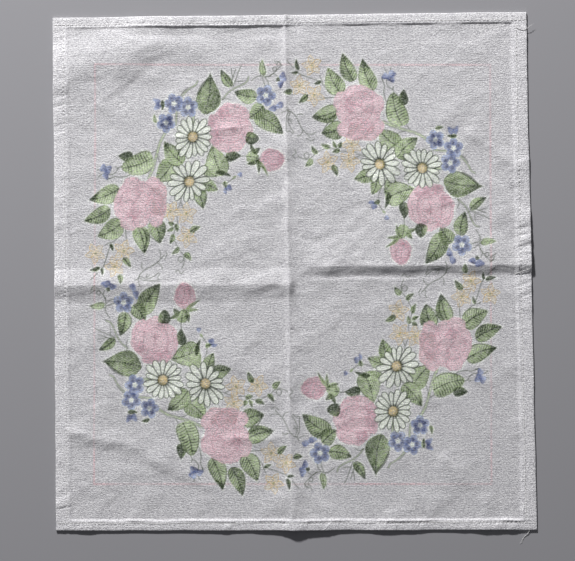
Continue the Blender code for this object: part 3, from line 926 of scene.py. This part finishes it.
weave = bpy.data.node_groups.new("plain_weave", "ShaderNodeTree")
weave.interface.new_socket("Vector", in_out="INPUT", socket_type="NodeSocketVector")
for label in ("Tone_and_shade", "Height", "Ink"):
    weave.interface.new_socket(label, in_out="OUTPUT", socket_type="NodeSocketFloat")
where = weave.nodes.new("NodeGroupInput").outputs["Vector"]
woven = weave.nodes.new("NodeGroupOutput")
wander = add_node(weave, "ShaderNodeVectorMath",
                  {0: add_noise(weave, where, 90.0).outputs[1], 1: (0.0012,) * 3},
                  operation="MULTIPLY")
bent = add_node(weave, "ShaderNodeVectorMath", {0: where, 1: wander.outputs[0]}, operation="ADD")
axes = add_node(weave, "ShaderNodeSeparateXYZ", {0: bent.outputs[0]})
warp = add_math(weave, "SINE", add_math(weave, "MULTIPLY", axes.outputs[0], math.tau / YARN_PITCH))
weft = add_math(weave, "SINE", add_math(weave, "MULTIPLY", axes.outputs[1], math.tau / YARN_PITCH))
crossing = add_math(weave, "MULTIPLY", warp, weft)
rib_place = add_math(weave, "MULTIPLY", axes.outputs[1], math.tau / RIB_PITCH)
ribs = add_math(weave, "SINE", add_math(weave, "ADD", rib_place, add_noise(
    weave, where, 160.0, 1.0).outputs[0]))
weft_slubs = add_noise(weave, where, 1150.0, 0.5, (0.45, 1.0, 0.3)).outputs[0]
warp_slubs = add_noise(weave, where, 1150.0, 1.0, (1.0, 0.40, 0.3)).outputs[0]
speckle = add_noise(weave, where, 1080.0, 0.5).outputs[0]
mottle = add_noise(weave, where, 55.0, 3.0).outputs[0]
# Painted shade: the tone follows the same yarn fields as the height, so the yarns are painted lighter
# where they stand higher, besides their uneven tone.
tone_and_shade = weighted_sum(weave, ((0.32, weft_slubs), (0.16, warp_slubs), (0.60, speckle),
                            (0.06, mottle), (0.03, crossing), (0.008, ribs)))
even_tone_and_shade = add_node(weave, "ShaderNodeMapRange", {"Value": tone_and_shade, "From Min": 0.41,
                                                   "From Max": 0.71})
lift = weighted_sum(weave, ((0.60, weft_slubs), (0.22, warp_slubs), (0.55, speckle),
                            (0.10, crossing), (0.032, ribs)))
ink = add_node(weave, "ShaderNodeMapRange", {"Value": speckle, "From Min": 0.3, "From Max": 0.7,
                                             "To Min": 0.50, "To Max": 1.60})
weave.links.new(even_tone_and_shade.outputs[0], woven.inputs["Tone_and_shade"])
weave.links.new(lift, woven.inputs["Height"])
weave.links.new(ink.outputs[0], woven.inputs["Ink"])


def cotton(name, dark, light, relief, printed=False):
    """Woven cotton, bare or under its print."""
    material = bpy.data.materials.new(name)
    material.use_nodes = True
    tree = material.node_tree
    surface = tree.nodes["Principled BSDF"]
    coordinates = add_node(tree, "ShaderNodeTexCoord")
    yarns = add_node(tree, "ShaderNodeGroup", node_tree=weave)
    tree.links.new(coordinates.outputs["Object"], yarns.inputs["Vector"])
    # Base colour: the yarns' uneven tone, with painted shade of their relief.
    colour = colour_mix(tree, yarns.outputs["Tone_and_shade"], (*dark, 1.0), (*light, 1.0))
    if printed:
        tint = add_node(tree, "ShaderNodeAttribute", attribute_name="print_tint")
        dyed = add_node(tree, "ShaderNodeGamma", {"Color": tint.outputs["Color"],
                                                  "Gamma": yarns.outputs["Ink"]})
        colour = colour_mix(tree, 1.0, colour, dyed.outputs[0], "MULTIPLY")
    bump = add_node(tree, "ShaderNodeBump", {"Height": yarns.outputs["Height"], "Strength": 1.0,
                                             "Distance": relief})
    tree.links.new(colour, surface.inputs["Base Color"])
    tree.links.new(bump.outputs[0], surface.inputs["Normal"])
    surface.inputs["Roughness"].default_value = 0.92
    surface.inputs["Specular IOR Level"].default_value = 0.18
    surface.inputs["Sheen Weight"].default_value = 0.12
    surface.inputs["Sheen Roughness"].default_value = 0.55
    return material


YARN_RELIEF = 0.00080
printed_cotton = cotton("printed_cotton", (0.60, 0.585, 0.62), (1.0, 0.985, 1.0),
                        YARN_RELIEF, printed=True)
plain_cotton = cotton("plain_cotton", (0.62, 0.61, 0.64), (1.0, 0.99, 1.0), YARN_RELIEF)

# ---- The woven cloth: its surface ----
# The face is a fine grid that takes the relief, and the back a coarser one a ply below, bridged
# into one closed sheet.  A piece can bend across one joint only, so the cloth is made in three
# lengths that meet midway between creases, each in halves that meet at the lengthwise crease.
GRID_STEP = 0.00064
HEM_WHITER = 0.12                    # three plies let less of the table show through than one, and painted light brightens the hems
EDGE_LINES = (0.0, 0.00008, 0.00025, 0.0005, 0.0008)


def grid_lines(low, high, finer_low, finer_high):
    """Even grid lines, an even number of steps, closer together beside a rolled edge."""
    steps = 2 * math.ceil((high - low) / GRID_STEP / 2)
    lines = np.linspace(low, high, steps + 1)
    if finer_low:
        lines[:len(EDGE_LINES)] = low + np.array(EDGE_LINES)
    if finer_high:
        lines[-len(EDGE_LINES):] = high - np.array(EDGE_LINES)[::-1]
    return lines


def lay_grid(x_lines, y_lines, flipped=False):
    """A grid object, and the place on the given lines of each of its vertices."""
    bpy.ops.object.select_all(action="DESELECT")
    across, along = len(x_lines) - 1, len(y_lines) - 1
    bpy.ops.mesh.primitive_grid_add(x_subdivisions=across, y_subdivisions=along, size=1.0)
    sheet = bpy.context.object
    if flipped:
        bpy.ops.object.mode_set(mode="EDIT")
        bpy.ops.mesh.select_all(action="SELECT")
        bpy.ops.mesh.flip_normals()
        bpy.ops.object.mode_set(mode="OBJECT")
    unit = np.zeros(len(sheet.data.vertices) * 3, np.float32)
    sheet.data.vertices.foreach_get("co", unit)
    unit = unit.reshape(-1, 3)
    column = np.rint((unit[:, 0] + 0.5) * across).astype(int)
    row = np.rint((unit[:, 1] + 0.5) * along).astype(int)
    return sheet, x_lines[column], y_lines[row]


def set_points(sheet, points):
    sheet.data.vertices.foreach_set("co", points.astype(np.float32).ravel())
    sheet.data.update()


def set_tint(sheet, tint):
    attribute = sheet.data.color_attributes.new("print_tint", "FLOAT_COLOR", "POINT")
    colours = np.ones((len(tint), 4), np.float32)
    colours[:, :3] = tint
    attribute.data.foreach_set("color", colours.ravel())


def finish(piece, name, material, smooth_below):
    """Shades a piece smooth up to an angle, and gives it its name and material."""
    bpy.ops.object.shade_smooth_by_angle(angle=math.radians(smooth_below))
    piece.name = piece.data.name = name
    piece.data.materials.clear()
    piece.data.materials.append(material)


def cloth_sheet(name, x_lines, y_lines):
    """One closed piece of the cloth between the given grid lines."""
    face, x, y = lay_grid(x_lines, y_lines)
    set_points(face, place(x, y, cloth_height(x, y)))
    # The face is tinted whiter over the hems, partly for the three plies and partly as painted light on
    # the hems.
    plies_and_painted_light = 1.0 + HEM_WHITER * np.maximum(*border_shares(x, y))
    set_tint(face, print_tint(*drifted(x, y)) * plies_and_painted_light[:, None])
    back, x, y = lay_grid(x_lines[::2], y_lines[::2], flipped=True)
    set_points(back, place(x, y, cloth_height(x, y) - FABRIC))
    set_tint(back, 1.0 + SHOW_THROUGH * (print_tint(*drifted(x, y)) - 1.0))
    face.select_set(True)
    back.select_set(True)
    bpy.context.view_layer.objects.active = face
    bpy.ops.object.join()
    bpy.ops.object.mode_set(mode="EDIT")
    bpy.context.tool_settings.mesh_select_mode = (False, True, False)
    bpy.ops.mesh.select_all(action="DESELECT")
    bpy.ops.mesh.select_non_manifold(extend=False)
    bpy.ops.mesh.bridge_edge_loops()
    bpy.ops.object.mode_set(mode="OBJECT")
    finish(face, name, printed_cotton, 60)
    return face


# The three lengths, from the bottom up: their ends, the fold that bends each, and the two CAD
# strips that the fold joins.
low_split = (lower_crease + middle_crease) / 2
high_split = (middle_crease + upper_crease) / 2
LENGTHS = [
    ("bottom", -half_length, low_split, "bottom_fold", ("lower_edge", "lower_middle")),
    ("middle", low_split, high_split, "middle_fold", ("lower_middle", "upper_middle")),
    ("top", high_split, half_length, "top_fold", ("upper_middle", "upper_edge")),
]
HALVES = [(f"{length_name}_{side}", side, low, high, fold, strips)
          for length_name, low, high, fold, strips in LENGTHS for side in ("left", "right")]
ACROSS = {"left": (-half_width, 0.0), "right": (0.0, half_width)}
ENDS = (("bottom", "lower_edge"), ("top", "upper_edge"))


def bend(piece):
    """Bakes a piece's placing into its mesh."""
    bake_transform(piece)


bpy.ops.mesh.primitive_plane_add(size=6.0)
table_top = bpy.context.object
table_top.name = "table_top"

for name, side, low, high, fold, strips in HALVES:
    x_lines = grid_lines(*ACROSS[side], side == "left", side == "right")
    y_lines = grid_lines(low, high, low == -half_length, high == half_length)
    piece = cloth_sheet("cloth_" + name, x_lines, y_lines)
    bend(piece)
    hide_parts(strips[0] + "_panel", strips[1] + "_panel")

# ---- Turned hems ----
# The cloth's own margin, turned under twice and pressed: a lower ply that runs in from the edge,
# and a raw edge tucked back between it and the face.  The side hems end under the end hems.
LOWER_PLY = 0.00102                  # below the face, to the middle of the ply
TUCKED_PLY = 0.00058
PLY = 0.00033
HEM_STEP = 0.0011
TURN_STEPS = 6
FOLD_RADIUS = (LOWER_PLY - TUCKED_PLY) / 2
CORNER_GAP = 0.0010                  # a hem's end to the rolled side edge, or to the next hem


def hem_profile(width):
    """How far in, and how far below the face, the middle of the turned cloth runs."""
    turn_in = width - PLY / 2 - FOLD_RADIUS
    profile = [(0.0004, LOWER_PLY - 0.00016), (0.0010, LOWER_PLY)]
    profile += [(turn_in * share, LOWER_PLY) for share in (0.3, 0.5, 0.7, 0.88)]
    for step in range(TURN_STEPS + 1):
        angle = math.pi * step / TURN_STEPS
        profile.append((turn_in + FOLD_RADIUS * math.sin(angle),
                        (LOWER_PLY + TUCKED_PLY) / 2 + FOLD_RADIUS * math.cos(angle)))
    profile += [(turn_in * share, TUCKED_PLY) for share in (0.88, 0.7, 0.5, 0.35, 0.2)]
    return np.array(profile)


def in_from(edge, inward, along):
    """Places at the given distances in from an edge and along it."""
    if edge in ("left", "right"):
        return (inward - half_width) * (1 if edge == "left" else -1), along
    return along, (inward - half_length) * (1 if edge == "bottom" else -1)


def turned_hem(name, edge, width, start, end):
    """The turned cloth along one edge, between two places along it."""
    profile = hem_profile(width)
    steps = max(2, round((end - start) / HEM_STEP))
    rows = np.arange(len(profile), dtype=float)
    hem, row, along = lay_grid(rows, np.linspace(start, end, steps + 1))
    inward, drop = profile[row.astype(int)].T
    x, y = in_from(edge, inward, along)
    set_points(hem, place(x, y, cloth_height(x, y, rolled=False) - drop))
    solid = hem.modifiers.new("ply", "SOLIDIFY")
    solid.thickness = PLY
    solid.offset = 0.0
    bpy.ops.object.modifier_apply(modifier="ply")
    bpy.ops.object.mode_set(mode="EDIT")
    bpy.ops.mesh.select_all(action="SELECT")
    bpy.ops.mesh.normals_make_consistent(inside=False)
    bpy.ops.object.mode_set(mode="OBJECT")
    finish(hem, name, plain_cotton, 60)
    return hem


inner_length = half_length - end_hem - CORNER_GAP
for name, side, low, high, fold, strips in HALVES:
    hem = turned_hem("hem_" + name, side, side_hem, max(low, -inner_length),
                     min(high, inner_length))
    bend(hem)
    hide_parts(*(f"{side}_{strip}_hem" for strip in strips))
for end_name, strip in ENDS:
    hem = turned_hem("hem_" + end_name, end_name, end_hem, -half_width + CORNER_GAP,
                     half_width - CORNER_GAP)
    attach(hem, strip)
    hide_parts(end_name + "_hem")

# ---- Lockstitch seams ----
# Two cotton threads along each hem.  The needle thread lies on the face from hole to hole, the
# bobbin thread underneath, and they lock in the cloth at every hole.
NEEDLE_THREAD = 0.00040
BOBBIN_THREAD = 0.00028
HOLE_DIP = 0.00050
STITCH_SLANT = 0.00009               # each stitch lies a little across the seam
STITCH_PHASES = (0.0, 0.07, 0.18, 0.35, 0.65, 0.82, 0.93)

sewing_cotton = bpy.data.materials.new("sewing_cotton")
sewing_cotton.use_nodes = True
thread_tree = sewing_cotton.node_tree
thread_surface = thread_tree.nodes["Principled BSDF"]
thread_place = add_node(thread_tree, "ShaderNodeTexCoord").outputs["Object"]
thread_twist = add_noise(thread_tree, thread_place, 2600.0, 2.0).outputs[0]
thread_colour = colour_mix(thread_tree, thread_twist, (0.70, 0.69, 0.68, 1.0),
                           (0.97, 0.96, 0.95, 1.0))
thread_bump = add_node(thread_tree, "ShaderNodeBump", {"Height": thread_twist, "Strength": 0.8,
                                                       "Distance": 0.0001})
thread_tree.links.new(thread_colour, thread_surface.inputs["Base Color"])
thread_tree.links.new(thread_bump.outputs[0], thread_surface.inputs["Normal"])
thread_surface.inputs["Roughness"].default_value = 0.7
thread_surface.inputs["Sheen Weight"].default_value = 0.2


def thread_tubes(name, routes, diameter, tapered=False):
    """Round threads along the given routes, joined into one mesh."""
    curve = bpy.data.curves.new(name, "CURVE")
    curve.dimensions = "3D"
    curve.bevel_depth = diameter / 2
    curve.bevel_resolution = 1
    curve.use_fill_caps = True
    for route in routes:
        spline = curve.splines.new("POLY")
        spline.points.add(len(route) - 1)
        for point, place_of_point in zip(spline.points, route):
            point.co = (*place_of_point, 1.0)
        if tapered:
            for step, point in enumerate(spline.points):
                point.radius = 1.0 - 0.65 * (step / (len(route) - 1)) ** 2
    thread = bpy.data.objects.new(name, curve)
    bpy.context.collection.objects.link(thread)
    bpy.ops.object.select_all(action="DESELECT")
    thread.select_set(True)
    bpy.context.view_layer.objects.active = thread
    bpy.ops.object.convert(target="MESH")
    thread = bpy.context.object
    bpy.ops.object.mode_set(mode="EDIT")
    bpy.ops.mesh.select_all(action="SELECT")
    bpy.ops.mesh.remove_doubles(threshold=1e-6)
    bpy.ops.mesh.normals_make_consistent(inside=False)
    bpy.ops.object.mode_set(mode="OBJECT")
    finish(thread, name, sewing_cotton, 70)
    return thread


def seam_route(edge, seam, start, end, on_face):
    """The route of one thread of a seam, between two places along an edge."""
    first, last = math.ceil(start / STITCH_LENGTH), math.floor(end / STITCH_LENGTH)
    phase = np.tile(STITCH_PHASES, last - first)
    along = (np.repeat(np.arange(first, last), len(STITCH_PHASES)) + phase) * STITCH_LENGTH
    inward = seam + STITCH_SLANT * (1.0 - 2.0 * phase)
    x, y = in_from(edge, inward, along)
    face = cloth_height(x, y, rolled=False)
    from_hole = np.minimum(phase, 1.0 - phase) * STITCH_LENGTH
    sunk = np.exp(-(from_hole / 0.00035) ** 2)
    if on_face:
        height = face + 0.6 * NEEDLE_THREAD / 2 + 0.00005 - HOLE_DIP * sunk
    else:
        height = face - LOWER_PLY - PLY / 2 - 0.7 * BOBBIN_THREAD / 2 + 0.5 * HOLE_DIP * sunk
    return place(x, y, height)


for kind, diameter, on_face in (("needle", NEEDLE_THREAD, True), ("bobbin", BOBBIN_THREAD, False)):
    for name, side, low, high, fold, strips in HALVES:
        route = seam_route(side, side_seam, max(low, end_hem - half_length),
                           min(high, half_length - end_hem), on_face)
        seam = thread_tubes(f"{kind}_thread_{name}", [route], diameter)
        bend(seam)
        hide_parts(*(f"{side}_{strip}_{kind}_thread" for strip in strips))
    for end_name, strip in ENDS:
        route = seam_route(end_name, end_seam, -half_width + CORNER_GAP,
                           half_width - CORNER_GAP, on_face)
        seam = thread_tubes(f"{kind}_thread_{end_name}", [route], diameter)
        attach(seam, strip)
        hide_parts(f"{end_name}_{kind}_thread")

# ---- The cloth with its hems ----
# The whole napkin is one sheet of cotton, laid on the table.  The hems and seams sewn to each of
# its six pieces are listed here.
SEWN_ON = ("hem", "needle_thread", "bobbin_thread")
for name, side, low, high, fold, strips in HALVES:
    sewn = [f"{kind}_{name}" for kind in SEWN_ON]
    sewn += [f"{kind}_{end_name}" for end_name, strip in ENDS for kind in SEWN_ON if strip in strips]

# ---- Loose thread ends ----
# Cut ends of the needle thread that have come untwisted: one hangs out of the bottom right corner
# and lies on the table, one stands out past the top right edge, one lies on the right hem.
STRAND = 0.00030
STRAND_GAP = 0.00017                 # from a strand to the middle of its thread
TWISTS = 3.0


def loose_end(name, knots, fray=0.0009):
    """Two strands that run side by side, twist, and part towards the end."""
    path = smooth_route([np.array(knot, float) for knot in knots], 8)
    share = np.linspace(0.0, 1.0, len(path))
    routes = []
    for strand in (0, 1):
        angle = 2 * math.pi * TWISTS * share + math.pi * strand
        apart = STRAND_GAP + fray * ease((share - 0.72) / 0.28) ** 2
        offset = np.stack([np.cos(angle) * apart, 0.3 * np.cos(angle) * apart,
                           0.6 * np.sin(angle) * STRAND_GAP], axis=-1)
        routes.append(path + offset)
    return thread_tubes(name, routes, STRAND, tapered=True)


def on_hem(x, y, above=0.00030):
    """A world point just above the face, from the cloth's centre."""
    height = cloth_height(np.array([x]), np.array([y]), rolled=False)[0]
    return place(np.array([x]), np.array([y]), np.array([height + above]))[0]


def on_table(x, y, above=0.00030):
    return place(np.array([x]), np.array([y]), np.array([above]))[0]


corner_tail = loose_end("corner_thread_end", [
    on_hem(half_width - 0.0056, -half_length + 0.0012, -0.00085),
    on_hem(half_width - 0.0062, -half_length - 0.0003, -0.00075),
    on_table(half_width - 0.0078, -half_length - 0.0026, 0.00070),
    on_table(half_width - 0.0106, -half_length - 0.0054),
    on_table(half_width - 0.0124, -half_length - 0.0082),
    on_table(half_width - 0.0135, -half_length - 0.0109)])
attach(corner_tail, "lower_edge")
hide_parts("corner_thread_tail")

tail_y = half_length - end_hem - 0.0064
top_tail = loose_end("top_thread_end", [
    on_hem(half_width - 0.0088, tail_y + 0.0012),
    on_hem(half_width - 0.0055, tail_y - 0.0002),
    on_hem(half_width - 0.0022, tail_y - 0.0006),
    on_hem(half_width - 0.0004, tail_y + 0.0002, 0.0004),
    on_hem(half_width + 0.0022, tail_y + 0.0019, 0.0006),
    on_hem(half_width + 0.0048, tail_y + 0.0038, 0.0004)])
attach(top_tail, "upper_edge")
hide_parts("top_thread_tail")

tail_y = middle_crease + 0.0049
side_tail = loose_end("side_thread_end", [
    on_hem(half_width - 0.0135, tail_y - 0.0016),
    on_hem(half_width - 0.0105, tail_y - 0.0006),
    on_hem(half_width - 0.0072, tail_y + 0.0006, 0.0004),
    on_hem(half_width - 0.0038, tail_y + 0.0018, 0.0004),
    on_hem(half_width - 0.0012, tail_y + 0.0034)])
bend(side_tail)
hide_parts("side_thread_tail")

# ---- Table and light ----
# A plain pale table top and soft studio light: one low key light from beyond the top left, which
# rakes across the creases, and a weak, even fill from all round.
TABLE_GREY = (0.345, 0.340, 0.360, 1.0)
FILL_COLOUR = (0.93, 0.95, 1.0, 1.0)
KEY_AZIMUTH = math.radians(109)
KEY_ELEVATION = math.radians(27)
KEY_DISTANCE = 2.6
KEY_SIZE = 0.22
KEY_POWER = 92.0
FILL_STRENGTH = 0.12

table_material = bpy.data.materials.new("pale_table")
table_material.use_nodes = True
table_surface = table_material.node_tree.nodes["Principled BSDF"]
table_surface.inputs["Base Color"].default_value = TABLE_GREY
table_surface.inputs["Roughness"].default_value = 0.8
table_top.data.materials.append(table_material)

key_data = bpy.data.lights.new("key_light", "AREA")
key_data.shape = "DISK"
key_data.size = KEY_SIZE
key_data.energy = KEY_POWER
key = bpy.data.objects.new("key_light", key_data)
key_from = Vector((math.cos(KEY_ELEVATION) * math.cos(KEY_AZIMUTH),
                   math.cos(KEY_ELEVATION) * math.sin(KEY_AZIMUTH), math.sin(KEY_ELEVATION)))
key.location = key_from * KEY_DISTANCE
key.rotation_euler = key_from.to_track_quat("Z", "Y").to_euler()
bpy.context.scene.collection.objects.link(key)

world = bpy.data.worlds.new("studio")
world.use_nodes = True
background = world.node_tree.nodes["Background"]
background.inputs["Color"].default_value = FILL_COLOUR
background.inputs["Strength"].default_value = FILL_STRENGTH
bpy.context.scene.world = world
bpy.context.scene.view_settings.view_transform = "Standard"
